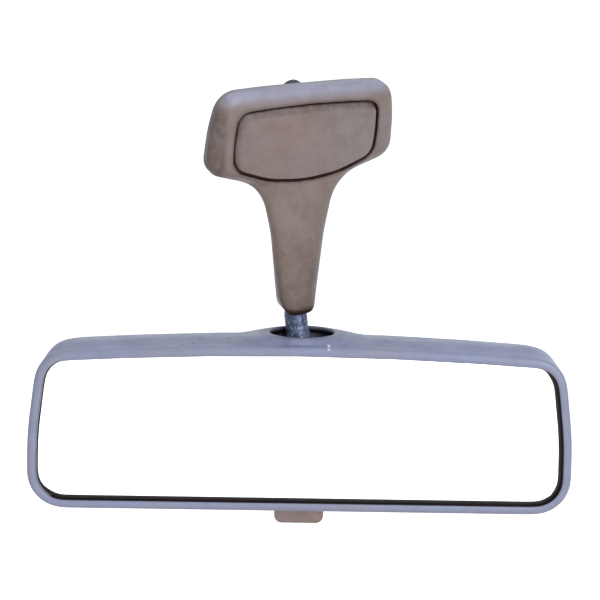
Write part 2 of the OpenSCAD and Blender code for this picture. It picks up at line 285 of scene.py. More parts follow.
class Look:
    """A node material with a Principled shader and short helpers for its nodes."""

    def __init__(self, name, **sockets):
        self.material = bpy.data.materials.new(name)
        self.material.use_nodes = True
        self.tree = self.material.node_tree
        self.shader = self.tree.nodes["Principled BSDF"]
        for key, value in sockets.items():
            self.shader.inputs[key.replace("_", " ")].default_value = value
        self.place = self.node("ShaderNodeTexCoord").outputs["Object"]

    def node(self, kind, inputs=(), **settings):
        made = self.tree.nodes.new(kind)
        for key, value in settings.items():
            setattr(made, key, value)
        for key, value in dict(inputs).items():
            self.feed(made.inputs[key], value)
        return made

    def feed(self, socket, value):
        if isinstance(value, bpy.types.NodeSocket):
            self.tree.links.new(value, socket)
        else:
            socket.default_value = value

    def noise(self, size, detail=4.0, rough=0.55, stretch=(1, 1, 1)):
        """Noise from 0 to 1 with features of about size millimetres."""
        where = self.place
        if stretch != (1, 1, 1):
            where = self.node("ShaderNodeMapping", {"Vector": where, "Scale": stretch}).outputs[0]
        return self.node("ShaderNodeTexNoise", {"Vector": where, "Scale": 1 / (size * MM),
                         "Detail": detail, "Roughness": rough}).outputs["Fac"]

    def ramp(self, value, low, high, to_low=0.0, to_high=1.0):
        return self.node("ShaderNodeMapRange", {"Value": value, "From Min": low, "From Max": high,
                         "To Min": to_low, "To Max": to_high}, interpolation_type="SMOOTHSTEP").outputs[0]

    def math(self, operation, a, b=0.0):
        return self.node("ShaderNodeMath", {0: a, 1: b}, operation=operation, use_clamp=True).outputs[0]

    def mix(self, factor, a, b):
        made = self.node("ShaderNodeMix", data_type="RGBA")
        for socket, value in zip((made.inputs[0], made.inputs[6], made.inputs[7]), (factor, a, b)):
            self.feed(socket, value)
        return made.outputs[2]

    def tag(self, name):
        return self.node("ShaderNodeAttribute", attribute_name=name).outputs["Fac"]

    def edges(self):
        """1 along convex edges."""
        return self.ramp(self.node("ShaderNodeNewGeometry").outputs["Pointiness"], 0.52, 0.6)

    def mark(self, place, a, b, width):
        """1 within width millimetres of the segment from a to b, points of place."""
        start, end = (np.array(p) for p in (place.out([a])[0], place.out([b])[0]))
        run = end - start
        away = self.node("ShaderNodeVectorMath", {0: self.place, 1: tuple(start)},
                         operation="SUBTRACT").outputs[0]
        dot = self.node("ShaderNodeVectorMath", {0: away, 1: tuple(run / (run @ run))},
                        operation="DOT_PRODUCT").outputs["Value"]
        clamped = self.math("ADD", dot)         # adding nothing keeps it between 0 and 1
        along = self.node("ShaderNodeVectorMath", {0: tuple(run), "Scale": clamped},
                          operation="SCALE").outputs[0]
        gap = self.node("ShaderNodeVectorMath", {0: away, 1: along}, operation="DISTANCE").outputs["Value"]
        return self.ramp(gap, width * MM, width * MM * MARK_CORE)

    def finish(self, colour, roughness=None, height=None, bump=0.2, depth=0.1):
        self.feed(self.shader.inputs["Base Color"], colour)
        if roughness is not None:
            self.feed(self.shader.inputs["Roughness"], roughness)
        if height is not None:
            made = self.node("ShaderNodeBump", {"Height": height, "Strength": bump, "Distance": depth * MM})
            self.feed(self.shader.inputs["Normal"], made.outputs[0])
        return self.material


def srgb(r, g, b):
    """A linear colour from 0 to 255 screen values."""
    line = [c / 255 / 12.92 if c <= 10 else ((c / 255 + 0.055) / 1.055) ** 2.4 for c in (r, g, b)]
    return (*line, 1.0)


# Brown of real grime, also used for painted shade.
GRIME_AND_SHADE_BROWN = srgb(60, 42, 32)
# Near-black for painted shade in hollows and gaps, and for dark specks and chips.
SHADE_AND_MARK_BLACK = srgb(26, 20, 20)
SCUFF = srgb(206, 208, 216)
SKY_SHEEN_BLUE = srgb(156, 162, 190)  # painted blue sky sheen on the base's upper bevel


def moulded_plastic(name, colour, warm, marks=(), pale_marks=()):
    """Aged moulded plastic: cloudy colour, fine grain, and where the mesh's tags say so, brown grime with painted
    shade, near-black painted shade and a painted blue sky sheen.
    """
    look = Look(name)
    cloud = look.ramp(look.noise(38, 5), 0.36, 0.66)
    tone = look.mix(cloud, colour, warm)
    speck = look.ramp(look.noise(2.1, 3, 0.7), 0.62, 0.74, 0, 0.28)
    tone = look.mix(speck, tone, GRIME_AND_SHADE_BROWN)
    # A film of grime, which the mesh also uses as painted shade down the stem and behind the head's rim.
    haze = look.math("MULTIPLY", look.ramp(look.noise(9, 6, 0.7), 0.4, 0.7, 0, 0.3), look.tag("haze"))
    tone = look.mix(haze, tone, GRIME_AND_SHADE_BROWN)
    # Brown where the mesh's tag says so: real grime, and painted shade in hollows, down the stem, on the left
    # bevel and along the head's lower edge.
    dirt = look.math("MULTIPLY", look.tag("dirt"), look.ramp(look.noise(4.5, 5, 0.7), 0.24, 0.6, 0.45, 1))
    tone = look.mix(dirt, tone, GRIME_AND_SHADE_BROWN)
    # Painted blue sky sheen where the mesh's tag says so.
    sky_sheen_share = look.math("MULTIPLY", look.tag("cool"), look.ramp(look.noise(8, 5, 0.7), 0.3, 0.62, 0.3, 0.55))
    tone = look.mix(sky_sheen_share, tone, SKY_SHEEN_BLUE)
    # Near-black painted shade with little shine where the mesh's tag says so: round the glass, in the mouth and
    # the groove, and at the stem's end.
    tone = look.mix(look.tag("dark"), tone, SHADE_AND_MARK_BLACK)
    look.feed(look.shader.inputs["Specular IOR Level"], look.ramp(look.tag("dark"), 0.2, 0.9, 0.45, 0.04))
    for place, a, b, width, strength in marks:
        broken = look.ramp(look.noise(1.6, 3, 0.7), 0.35, 0.6, 0.3, 1)
        shown = look.math("MULTIPLY", look.mark(place, a, b, width), look.math("MULTIPLY", broken, strength))
        tone = look.mix(shown, tone, SHADE_AND_MARK_BLACK)
    for place, a, b, width, strength in pale_marks:
        shown = look.math("MULTIPLY", look.mark(place, a, b, width), strength)
        tone = look.mix(shown, tone, SCUFF)
    rough = look.ramp(look.noise(14, 4), 0.3, 0.7, *PLASTIC_SHINE)
    height = look.math("ADD", look.math("MULTIPLY", look.noise(PLASTIC_GRAIN, 2), 0.6),
                       look.math("MULTIPLY", look.noise(6, 4), 0.4))
    return look.finish(tone, rough, height, 0.22, 0.12)


def metal(name, colour, dull, rust=0.25):
    """Worn sheet or turned metal with dull patches and a little rust."""
    look = Look(name, Metallic=0.85)
    tone = look.mix(look.ramp(look.noise(5, 5, 0.65), 0.35, 0.65), colour, dull)
    tone = look.mix(look.ramp(look.noise(3, 4, 0.7), 0.6, 0.75, 0, rust), tone, srgb(96, 58, 38))
    tone = look.mix(look.edges(), tone, colour)
    return look.finish(tone, look.ramp(look.noise(2, 3), 0.3, 0.7, 0.3, 0.5), look.noise(0.5, 3), 0.25, 0.1)


def soft_black(name, colour, dust, rough=(0.55, 0.75), grain=0.6):
    """Rubber, foam or black plastic with pale dust on it."""
    look = Look(name, Specular_IOR_Level=0.35)
    tone = look.mix(look.ramp(look.noise(4, 5, 0.7), 0.45, 0.75, 0, 0.5), colour, dust)
    return look.finish(tone, look.ramp(look.noise(6, 3), 0.3, 0.7, *rough), look.noise(grain, 4), 0.4, 0.15)


def nylon(name, colour, stain):
    """Aged nylon with cloudy stains."""
    look = Look(name, Specular_IOR_Level=0.5, Subsurface_Weight=0.05)
    tone = look.mix(look.ramp(look.noise(5, 4), 0.4, 0.7), colour, stain)
    return look.finish(tone, look.ramp(look.noise(3, 3), 0.3, 0.7, 0.3, 0.45), look.noise(0.8, 3), 0.15, 0.05)


def mirror_face():
    """Silvered glass with a trace of dust."""
    look = Look("mirror_face", Metallic=1.0)
    dust = look.ramp(look.noise(30, 5), 0.45, 0.8, 0, 0.25)
    tone = look.mix(dust, srgb(249, 251, 252), srgb(238, 241, 243))
    return look.finish(tone, look.ramp(look.noise(12, 6, 0.7), 0.5, 0.85, 0.015, 0.07))


def cast_neck():
    """Mottled blue-grey cast metal with white scuffs."""
    look = Look("cast_neck", Metallic=0.35)
    tone = look.mix(look.ramp(look.noise(2.6, 6, 0.72), 0.36, 0.64), srgb(40, 46, 68), srgb(88, 99, 130))
    tone = look.mix(look.ramp(look.noise(1.2, 5, 0.75, (1, 1, 0.55)), 0.57, 0.66, 0, 0.85), tone, SCUFF)
    tone = look.mix(look.ramp(look.noise(1.9, 4, 0.7), 0.62, 0.74, 0, 0.8), tone, srgb(28, 28, 38))
    # Near-black painted shade where the neck goes down into the mouth.
    tone = look.mix(look.tag("dark"), tone, SHADE_AND_MARK_BLACK)
    height = look.noise(1.3, 6, 0.7)
    return look.finish(tone, look.ramp(look.noise(1.5, 4), 0.3, 0.7, 0.32, 0.6), height, 0.6, 0.3)


# ---- head ----
HEAD_POINTS = 520           # points round the head's outline
SWELL = 2.3                 # swell of the housing's top behind the rim
SIDE_END = 18.0             # depth at which the back starts to close
BACK_ROUND = (2.3, 4.6)     # how squarely the back closes, across and up: more is squarer
SHELL = 1.2                 # thickness of the housing's wall
MOUTH_AT = 18.0             # middle of the mouth, front to back
MOUTH_HALF = np.array([14.7, 10.4])
BOSS_REACH = 36             # half width of the patch that rises to the mouth
COLLAR = (41.2, 0.075)      # height of the mouth's edge at its middle, and its slope towards the back
LIP = 0.8                   # round of the mouth's lip
LIP_STEPS = [(0.25, 0.06), (0.5, 0.22), (0.7, 0.5), (LIP, 0.9), (LIP, 1.7), (LIP, 2.8)]  # inward, down
GASKET_LIP = 1.0            # the gasket's lip over the glass is 0.6 to 1.6 of this wide
WALL_RINGS = 5              # rings of the rim that make the wall round the glass
UNDERSIDE = 10              # rings after this one lie on the housing's sides
LEFT_WALL = 112.0           # beyond this, on the left where light falls on it, the wall's painted shade is brown instead of black
SLOT_HALF = 12.5            # half width of the slot under the tab
SLOT_FRONT, SLOT_BACK = 4.6, 16.0

# The rim as (inset, depth): its inner wall and face, then its outer round at the sides and at the top
RIM_FACE = [(4.35, 3.4), (4.4, 2.4), (4.42, 1.4), (4.3, 0.8), (4.05, 0.4), (3.6, 0.13), (3.1, 0.02), (2.5, 0)]
RIM_SIDE = [(1.8, 0.13), (1.15, 0.45), (0.6, 1.0), (0.22, 1.8), (0, 3.0)]
RIM_TOP = [(1.7, 0.08), (1.0, 0.3), (0.45, 0.75), (0.12, 1.35), (0, 2.2)]


def head_outline():
    """The head's outline from the middle of its lower edge, with points at the slot's corners."""
    right = [(60, LOW_EDGE, 300), (HALF_W + 0.35, LOW_EDGE, 16.5), (HALF_W - 0.6, -4, 150),
             (HALF_W - 5.9, 33.0, 15), (80, 35.2, 150), (42, 36.7, 200), (0, 37.3, 200)]
    line = rounded([(0, LOW_EDGE, 1)] + both_sides(right))
    line = softened(spaced(line, HEAD_POINTS, closed=True), 2.2)
    flat = (line[:, 1] < LOW_EDGE + 1) & (np.abs(line[:, 0]) < 40)
    for x in (-SLOT_HALF, SLOT_HALF):
        nearest = np.argmin(np.where(flat, np.abs(line[:, 0] - x), np.inf))
        line[nearest, 0] = x
    return line


HEAD_LINE = head_outline()
HEAD_OUT = outward(HEAD_LINE)
TOPNESS = smooth(0.35, 0.93, HEAD_OUT[:, 1])


def swell_at(y):
    """How far the top has swollen at depth y."""
    return SWELL * smooth(1.0, 15.0, y)


def closing(y):
    """How far the back has closed at depth y: the shares kept of the width and the height."""
    share = np.clip((np.asarray(y, float) - SIDE_END) / (HEAD_D - SIDE_END), 0, 1)
    return tuple((1 - share ** power) ** (1 / power) for power in BACK_ROUND)


def head_ring(inset, y):
    """The head's outline at a depth, pulled in by inset, one value or one each."""
    line = HEAD_LINE - HEAD_OUT * np.reshape(np.broadcast_to(inset, len(HEAD_LINE)), (-1, 1))
    depth = np.broadcast_to(y, len(line))
    line = line + np.stack([np.zeros(len(line)), TOPNESS * swell_at(depth)], -1)
    keep_x, keep_z = closing(depth)
    return at_depth(np.stack([line[:, 0] * keep_x, line[:, 1] * keep_z], -1), depth)


def top_height(x, y):
    """Height of the housing's top at x and depth y, without the boss."""
    top = HEAD_OUT[:, 1] > 0.35
    order = np.argsort(HEAD_LINE[top][:, 0])
    xs, zs, share = (a[top][order] for a in (HEAD_LINE[:, 0], HEAD_LINE[:, 1], TOPNESS))
    keep_x, keep_z = closing(y)
    across = np.asarray(x) / np.maximum(keep_x, 1e-3)
    return (np.interp(across, xs, zs) + np.interp(across, xs, share) * swell_at(y)) * keep_z


def collar_height(y):
    """Height of the mouth's edge at depth y."""
    return COLLAR[0] + COLLAR[1] * (np.asarray(y) - MOUTH_AT)


def rim_rings():
    """Front of the rim, from its inner wall outwards, softer away from the top."""
    rings = [head_ring(*pair) for pair in RIM_FACE]
    for (a, b), (c, d) in zip(RIM_SIDE, RIM_TOP):
        rings.append(head_ring(a + (c - a) * TOPNESS, b + (d - b) * TOPNESS))
    return rings


def housing_depths():
    """Depths of the rings behind the rim, closer together towards the back."""
    turn = np.sin(np.linspace(0.03, 1, 22) * math.pi / 2)
    turn = np.append(turn[:-1] * 0.9985, 1.0)
    return [SLOT_FRONT, 6.5, 8.5, 10.5, 12.5, 14.2, SLOT_BACK, *(SIDE_END + (HEAD_D - SIDE_END) * turn)]


def housing_wear_and_shade(number, ring):
    """Tags of a ring: near-black painted shade on the wall round the glass, brown on the left where light falls on
    it; grime with painted shade there and along the lower edge, where it also stands for a painted brown ground
    reflection; and a grime film that grows towards the back.
    """
    wall = smooth(0.3, 0.8, ring[:, 1]) * (number < WALL_RINGS)
    brown = smooth(-LEFT_WALL, -LEFT_WALL - 3, ring[:, 0])
    # Painted shade and a painted brown ground reflection along the lower edge, stronger behind the rim.
    low = smooth(LOW_EDGE + 2.2, LOW_EDGE + 0.1, ring[:, 2]) * (0.35 + 0.5 * (number > UNDERSIDE))
    return {"dark": wall * (1 - 0.75 * brown), "dirt": np.maximum(low * 0.8, 0.55 * wall),
            "haze": 0.35 + 0.5 * smooth(0, 12, ring[:, 1])}


def housing_faces(shape, rows, openings):
    """Faces between the rows, apart from openings, each a range of rows and a set of points."""
    count = len(HEAD_LINE)
    for k, (a, b) in enumerate(zip(rows, rows[1:])):
        for i in range(count):
            j = (i + 1) % count
            if not any(k in span and i in points and j in points for span, points in openings):
                shape.faces.append((a[i], a[j], b[j], b[i]))


def housing():
    """The shell: rim, swollen top, closed back, mouth with its boss, and the tab's slot."""
    shape = Shape()
    front = rim_rings()
    depths = housing_depths()
    rings = front + [head_ring(0, y) for y in depths]
    rows = [shape.add(r, **housing_wear_and_shade(i, r)) for i, r in enumerate(rings)]
    crease = len(front) - 1                     # the boss starts at the crease behind the rim
    last = max(i for i, r in enumerate(rings) if r[0, 1] < HEAD_D - 0.9)
    across = np.abs(HEAD_LINE[:, 0])
    top = np.where((HEAD_OUT[:, 1] > 0.9) & (across < BOSS_REACH))[0]
    under_tab = np.where((HEAD_LINE[:, 1] < 0) & (across <= SLOT_HALF + 1e-6))[0]
    slot_rows = range(len(front), len(front) + depths.index(SLOT_BACK))
    housing_faces(shape, rows, [(range(crease, last), set(top)), (slot_rows, set(under_tab))])
    mouth(shape, rows, crease, last, top)
    obj = shape.piece("housing", HEAD, "head", ["housing_shell"], HOUSING_PLASTIC, sharp=70)
    shell = obj.modifiers.new("wall", "SOLIDIFY")
    shell.thickness = SHELL * MM
    shell.offset = -1
    shell.use_even_offset = False
    return obj


def mouth(shape, rows, first, last, top):
    """The boss round the neck's mouth, from the cut in the top inwards to the lip."""
    loop = list(rows[first][top]) + [rows[k][top[-1]] for k in range(first + 1, last)]
    loop += list(rows[last][top[::-1]]) + [rows[k][top[0]] for k in range(last - 1, first, -1)]
    edge = np.array([shape.points[i] for i in loop])
    half = MOUTH_HALF + LIP
    angle = np.arctan2((edge[:, 1] - MOUTH_AT) / half[1], edge[:, 0] / half[0])
    around = np.stack([np.cos(angle), np.sin(angle)], -1)
    rim = around * half + [0, MOUTH_AT]
    before = np.array(loop)
    for w in np.linspace(1, 0, 16)[1:]:
        at = rim + (edge[:, :2] - rim) * w
        share = 1 - smooth(0.0, 0.92, w)
        z = top_height(at[:, 0], at[:, 1]) * (1 - share) + collar_height(at[:, 1]) * share
        ring = shape.add(np.stack([at[:, 0], at[:, 1], z], -1), haze=0.8, dirt=0.25 * (w < 0.2))
        shape.strip(before, ring)
        before = ring
    # The lip turns to painted shade as it goes down into the mouth.
    for inward, down in LIP_STEPS:
        at = around * (half - inward) + [0, MOUTH_AT]
        z = collar_height(at[:, 1]) - down
        ring = shape.add(np.stack([at[:, 0], at[:, 1], z], -1), haze=0.8, dirt=0.4, dark=min(1, down / 1.7))
        shape.strip(before, ring)
        before = ring


def gasket():
    """The rubber round the glass, with a thin lip over the glass's face."""
    shape = Shape()
    low, right = smooth(0.3, 0.9, -HEAD_OUT[:, 1]), smooth(0.3, 0.9, HEAD_OUT[:, 0])
    lip = GASKET_LIP * (0.6 + 1.0 * np.maximum(low, right))
    front = 4.3 + lip
    section = [(front, 3.43), (front - 0.05, 3.3), (front - 0.3, 3.2), (3.4, 3.2), (2.3, 3.6), (2.3, 5.8),
               (3.2, 5.8), (3.2, 3.43), (front, 3.43)]
    shape.rings([head_ring(inset, y) for inset, y in section])
    rubber = NODE_LOOKS["seal_rubber"]
    return shape.piece("gasket", HEAD, "head", ["glass_gasket"], rubber, sharp=60)


# ---- base and arm ----
FACE_Y = -8.0               # the base's face
GROOVE_FLOOR = -5.4
RECESS_FLOOR = -4.0
RECESS_HALF = 30.0
RECESS_LOW, RECESS_HIGH = -13.0, 16.6
RECESS_CORNERS = [(RECESS_HALF, RECESS_HIGH), (RECESS_HALF, RECESS_LOW)]
CAP_CORNERS = [(32.5, 9.5), (33.2, -14.6)]
STEM_END = -85.8
TRUMPET = (16.5, -33.0)     # where the base turns into the stem
END_ROUND = 3.0             # round of the stem's end
ARM_POINTS, CAP_POINTS, RECESS_POINTS = 900, 480, 400
COUNTS = (34, 40, 34, 60, 10)   # points of the arm's half: top, side, below, down the stem, its end
FRONT_ROWS, BACK_ROWS = 30, 18  # rings from the arm's outline in to a pocket
POCKET = sum(COUNTS[:3]) + 1    # points of the groove's or the recess's half
POCKET_MIDDLE = np.array([0, -4.0])
NEAR_MIDDLE = 2             # half width of the strip in which an outline's top and bottom lie
GROOVE_WALL = [(0.0, FACE_Y + 0.1), (0.12, FACE_Y + 0.4), (0.18, FACE_Y + 0.9), (0.2, GROOVE_FLOOR)]

# Depths down the arm as (height, depth) knots, from the stem's end up, and the width of its bevel
front_edge = curve_of([(STEM_END, -14.2), (-79, -12.6), (-45, -7.4), (-34, -5.6), (-27, -4.4), (-19, -3.6),
                       (30, -3.6)])
front_mid = curve_of([(STEM_END, -21.2), (-79, -19.6), (-45, -13.6), (-36, -11.0), (-30, -8.7),
                      (-26, FACE_Y), (30, FACE_Y)])
bevel_w = curve_of([(STEM_END, 8.0), (-79, 8.6), (-45, 11.2), (-34, 12), (-26, 10), (-18, 7.5), (30, 7.5)])
back_edge = curve_of([(STEM_END, -13.8), (-79, -12.0), (-45, -6.6), (-34, -4.4), (-27, -2.6), (-19, -0.8),
                      (30, -0.5)])
back_mid = curve_of([(STEM_END, -7.2), (-79, -5.2), (-45, -0.9), (-34, -0.3), (-26, 0), (30, 0)])


def arm_outline(end, end_half):
    """Base and stem as one closed line, with the stem's end at a height and of a half width."""
    right = [(end_half, end, 3.4), (9.5, STEM_END + 6.5, 7), (13.0, -49, 70), (18.5, -25.5, 24),
             (46.1, -17.0, 8.5), (44.5, 2, 60), (41.0, 17.7, 12), (20, 18.5, 90), (0, 18.6, 200)]
    line = rounded([(0, end, 1)] + both_sides(right))
    return softened(spaced(line, ARM_POINTS, closed=True), 3)


def cap_outline(more=0.0):
    """The groove's outer edge round the cap, pushed out by more."""
    right = [(17, -22.6, 40), (35.0, -15.8, 9), (35.4, -4, 60), (34.2, 10.4, 6.6), (18, 11.4, 90),
             (0, 11.8, 90)]
    line = rounded([(0, -24.6, 60)] + both_sides(right))
    line = softened(spaced(line, CAP_POINTS, closed=True), 2)
    return line + outward(line) * more


def recess_outline():
    """The edge of the recess in the base's back."""
    corners = [(RECESS_HALF, RECESS_LOW, 3), (RECESS_HALF, RECESS_HIGH, 3),
               (-RECESS_HALF, RECESS_HIGH, 3), (-RECESS_HALF, RECESS_LOW, 3)]
    return spaced(rounded(corners), RECESS_POINTS, closed=True)


def right_half(line, landmarks, counts):
    """The half with x > 0, from its top to its bottom, spaced between landmarks near it."""
    top = np.argmax(np.where(np.abs(line[:, 0]) > NEAR_MIDDLE, -np.inf, line[:, 1]))
    line = np.roll(line, -top, axis=0)[::-1]
    bottom = np.argmin(np.where(np.abs(line[:, 0]) > NEAR_MIDDLE, np.inf, line[:, 1]))
    half = line[:bottom + 1]
    half = half[half[:, 0] > 0]
    half = np.vstack([[0, half[0, 1]], half, [0, half[-1, 1]]])
    cuts = [0] + [int(np.argmin(np.linalg.norm(half - m, axis=1))) for m in landmarks] + [len(half) - 1]
    parts = [spaced(half[a:b + 1], n + 1)[:-1] for a, b, n in zip(cuts, cuts[1:], counts)]
    return np.vstack(parts + [half[-1:]])


ARM_LINE = arm_outline(STEM_END, 7.0)
SIDE_LINE = arm_outline(STEM_END - 30, 9.0)   # the same, with the stem's sides carried on down
CAP_LINE = cap_outline()
ARM_HALF = right_half(ARM_LINE, [(38, 17), (39, -17.2), TRUMPET, (5.8, STEM_END)], COUNTS)


def to_line(points, line):
    """Distance of each point in x, z to a closed line."""
    run = np.roll(line, -1, axis=0) - line
    away = points[:, None, :] - line[None, :, :]
    along = np.clip((away * run).sum(axis=2) / (run * run).sum(axis=1), 0, 1)
    return np.linalg.norm(away - along[:, :, None] * run, axis=2).min(axis=1)


def arm_bulge(points):
    """0 at the arm's edge and 1 where its bevel ends, and a little less round the stem's end."""
    side = np.clip(to_line(points, SIDE_LINE) / bevel_w(points[:, 1]), 0, 1)
    end = np.clip(to_line(points, ARM_LINE) / END_ROUND, 0, 1)
    near_end = smooth(STEM_END + 9, STEM_END + 4, points[:, 1])
    return np.sqrt(1 - (1 - side) ** 2) * (1 - 0.2 * near_end * (1 - np.sqrt(1 - (1 - end) ** 2)))


def arm_inner(line, landmarks):
    """Line of a pocket's right half, and on down the middle of the stem."""
    pocket = right_half(line, landmarks, COUNTS[:3])
    low = pocket[-1, 1]
    down = np.linspace(low, STEM_END + 7, COUNTS[3] + 1)[1:]
    slit = np.stack([0 * down, down], -1)
    return np.vstack([pocket, slit, np.repeat(slit[-1:], COUNTS[4], axis=0)])


def level_at_groove(points, depth):
    """Depth brought to the base's face beside the groove."""
    return depth + (FACE_Y - depth) * smooth(3.0, 0.2, to_line(points, CAP_LINE))


def arm_sheet(shape, inner, edge_of, mid_of, rows, wear_and_shade_of, settle=lambda points, depth: depth):
    """The arm's front or back, from its outline in to a line, bulging from edge to middle depth."""
    rings = []
    for w in np.linspace(0, 1, rows) ** 1.5:
        at = ARM_HALF + (inner - ARM_HALF) * w
        depth = edge_of(at[:, 1]) + (mid_of(at[:, 1]) - edge_of(at[:, 1])) * arm_bulge(at)
        rings.append(at_depth(at, settle(at, depth)))
    tags = [wear_and_shade_of(r) for r in rings]
    return shape.rings(rings, closed=False, dirt=[t[0] for t in tags], haze=[t[1] for t in tags],
                       dark=[t[2] for t in tags], cool=[t[3] for t in tags])


def arm_front_wear_and_shade(points):
    """Shares of grime with painted shade, of a grime film that darkens down the stem as painted shade, of
    near-black painted shade and of painted blue sky sheen, for points on the arm's front.
    """
    flat = points[:, [0, 2]]
    groove = to_line(flat, CAP_LINE)
    down = flat[:, 1]
    # Grime with painted shade by the groove, and painted shade growing down the stem and towards its end.
    dirt = np.maximum(smooth(1.5, 0.3, groove) * 0.55, smooth(-18, -80, down) * 0.34)
    dirt = np.maximum(dirt, smooth(STEM_END + 14, STEM_END + 3, down) * 0.6)
    # Near-black painted shade where the stem's end meets the neck.
    dark = smooth(STEM_END + 5, STEM_END + 1.5, down) * 0.85
    # Painted blue sky sheen along the base's top.
    cool = smooth(11.5, 17.0, down)
    # The grime film grows down the stem as painted shade.
    return dirt, 0.5 + 0.4 * smooth(0, -60, down), dark, cool


def arm_back_wear(points):
    """The same shares on the arm's back, even all over."""
    none = np.zeros(len(points))
    return none + 0.2, none + 0.8, none, none


def shade_left_bevel(shape):
    """The bevel on the left faces away from the light and gets painted shade in grime's brown."""
    at = np.array(shape.points)
    left = smooth(-37.0, -40.5, at[:, 0]) * smooth(15, 9, at[:, 2])
    shape.tags["dirt"] = np.maximum(shape.tags["dirt"], 0.72 * left).tolist()


def close_floor(shape, ring, depth, dirt):
    """A flat floor from a pocket's half ring to its middle."""
    floor = shape.add(at_depth(np.repeat([POCKET_MIDDLE], POCKET, axis=0), depth), dirt=dirt)
    shape.strip(ring, floor, closed=False)


def sink_groove(shape, lip):
    """The groove's outer wall, from the base's face down, and its floor."""
    for less, y in GROOVE_WALL:
        half = right_half(cap_outline(-less), CAP_CORNERS, COUNTS[:3])
        # Grime with painted shade fills the groove, and near-black painted shade lies deeper down its wall.
        ring = shape.add(at_depth(half, y), dirt=1.0, haze=1.0, dark=0.3 * (y > FACE_Y + 0.3))
        shape.strip(lip, ring, closed=False)
        lip = ring
    close_floor(shape, lip, GROOVE_FLOOR, 1.0)


def sink_recess(shape, rim, half):
    """The recess in the back, which the steel plate lies in."""
    deep = shape.add(at_depth(half, RECESS_FLOOR), dirt=0.6)
    shape.strip(rim, deep, closed=False)
    close_floor(shape, deep, RECESS_FLOOR, 0.6)


def arm():
    """The base with its bevel, groove and recess, and the stem that grows out of it."""
    shape = Shape()
    groove = arm_inner(CAP_LINE, CAP_CORNERS)
    front = arm_sheet(shape, groove, front_edge, front_mid, FRONT_ROWS, arm_front_wear_and_shade, level_at_groove)
    recess = arm_inner(recess_outline(), RECESS_CORNERS)
    back = arm_sheet(shape, recess, back_edge, back_mid, BACK_ROWS, arm_back_wear)
    shape.strip(front[0], back[0], closed=False)
    sink_groove(shape, front[-1][:POCKET])
    sink_recess(shape, back[-1][:POCKET], recess[:POCKET])
    shape.mirrored()
    shade_left_bevel(shape)
    return shape.piece("arm", ARM, "arm", ["arm_shell"], ARM_PLASTIC, sharp=60)


# ---- cap ----
CAP_GAP = 1.05              # from the groove's outer edge to the cap
CAP_MIDDLE = np.array([0, -4.5])
CAP_EDGE = FACE_Y + 1.0     # depth of the cap's edge
CHAMFER = 1.15              # depth of its chamfer
CAP_CROWN = FACE_Y - 0.6    # depth of its middle


def cap_wall(line, normal):
    """The cap's hidden back and its wall, as (ring, dirt)."""
    yield at_depth(line + (CAP_MIDDLE - line) * 0.999, GROOVE_FLOOR + 0.05), 0.0
    yield at_depth(line, GROOVE_FLOOR + 0.05), 1.0
    yield at_depth(line, CAP_EDGE + 0.4), 0.95
    yield at_depth(line - normal * 0.12, CAP_EDGE), 0.85


def cap_chamfer(line, normal, wide):
    """The chamfer, with grime and painted shade where it is wide, along its top and left, as (ring, share of grime
    and shade).
    """
    for t in (0.2, 0.4, 0.6, 0.8, 0.93, 1.0):
        drop = CHAMFER * math.sin(t * math.pi / 2) ** 0.9
        dirt = (0.85 - 0.62 * t ** 1.6) * (0.35 + 0.65 * smooth(1.0, 3.0, wide))
        yield at_depth(line - normal * (wide * t)[:, None], CAP_EDGE - drop), dirt


def cap_face(edge):
    """The slightly domed face inside the chamfer, as (ring, dirt)."""
    shoulder = CAP_EDGE - CHAMFER
    for t in (0.04, 0.1, 0.2, 0.35, 0.5, 0.65, 0.8, 0.92, 1.0):
        rise = (CAP_CROWN - shoulder) * (1 - (1 - t) ** 2)
        yield at_depth(edge + (CAP_MIDDLE - edge) * t, shoulder + rise), 0.1 * (1 - t)


def cap():
    """The cap: a domed plate with a chamfer that is wide along its top and left."""
    shape = Shape()
    line = cap_outline(-CAP_GAP)
    normal = outward(line)
    wide = 0.8 + 2.2 * smooth(0.2, 0.95, normal[:, 1]) + 1.6 * smooth(0.5, 0.95, -normal[:, 0])
    inner = line - normal * wide[:, None]
    rings, dirt = zip(*cap_wall(line, normal), *cap_chamfer(line, normal, wide), *cap_face(inner))
    shape.rings(rings, dirt=dirt, haze=[0.7] * len(rings))
    return shape.piece("cap", ARM, "arm", ["cap_panel"], CAP_PLASTIC, sharp=45)


# ---- neck ----
BALL_R = 6.5
NECK_SIDES = 72
SHANK_FROM = 10.0           # the neck's rough cast skin starts here, above the ball's middle
SOCKET_SHADE = (11.2, 9.5)  # heights between which the neck darkens into the mouth

# Radius and height above the ball's middle: the throat, the flared collar and the neck
NECK_PROFILE = [(4.0, 6.0), (4.1, 9.6), (4.6, 10.4), (6.2, 11.0), (6.3, 11.6), (6.0, 12.5), (5.6, 13.8),
                (5.35, 15.2), (5.3, 17), (5.35, 21), (5.3, 23), (5.0, 24.6), (4.4, 26)]


def basis(up):
    """Two unit vectors square to up, the first as near to X as can be."""
    side = unit(np.array([1.0, 0, 0]) - up * up[0])
    return side, np.cross(up, side)


def neck_lump(angles, up):
    """How far the cast skin stands off its true radius."""
    if up <= SHANK_FROM:
        return 0.0
    return 0.06 * np.sin(3 * angles + up) + 0.04 * np.sin(7 * angles - 2.1 * up) - 0.08


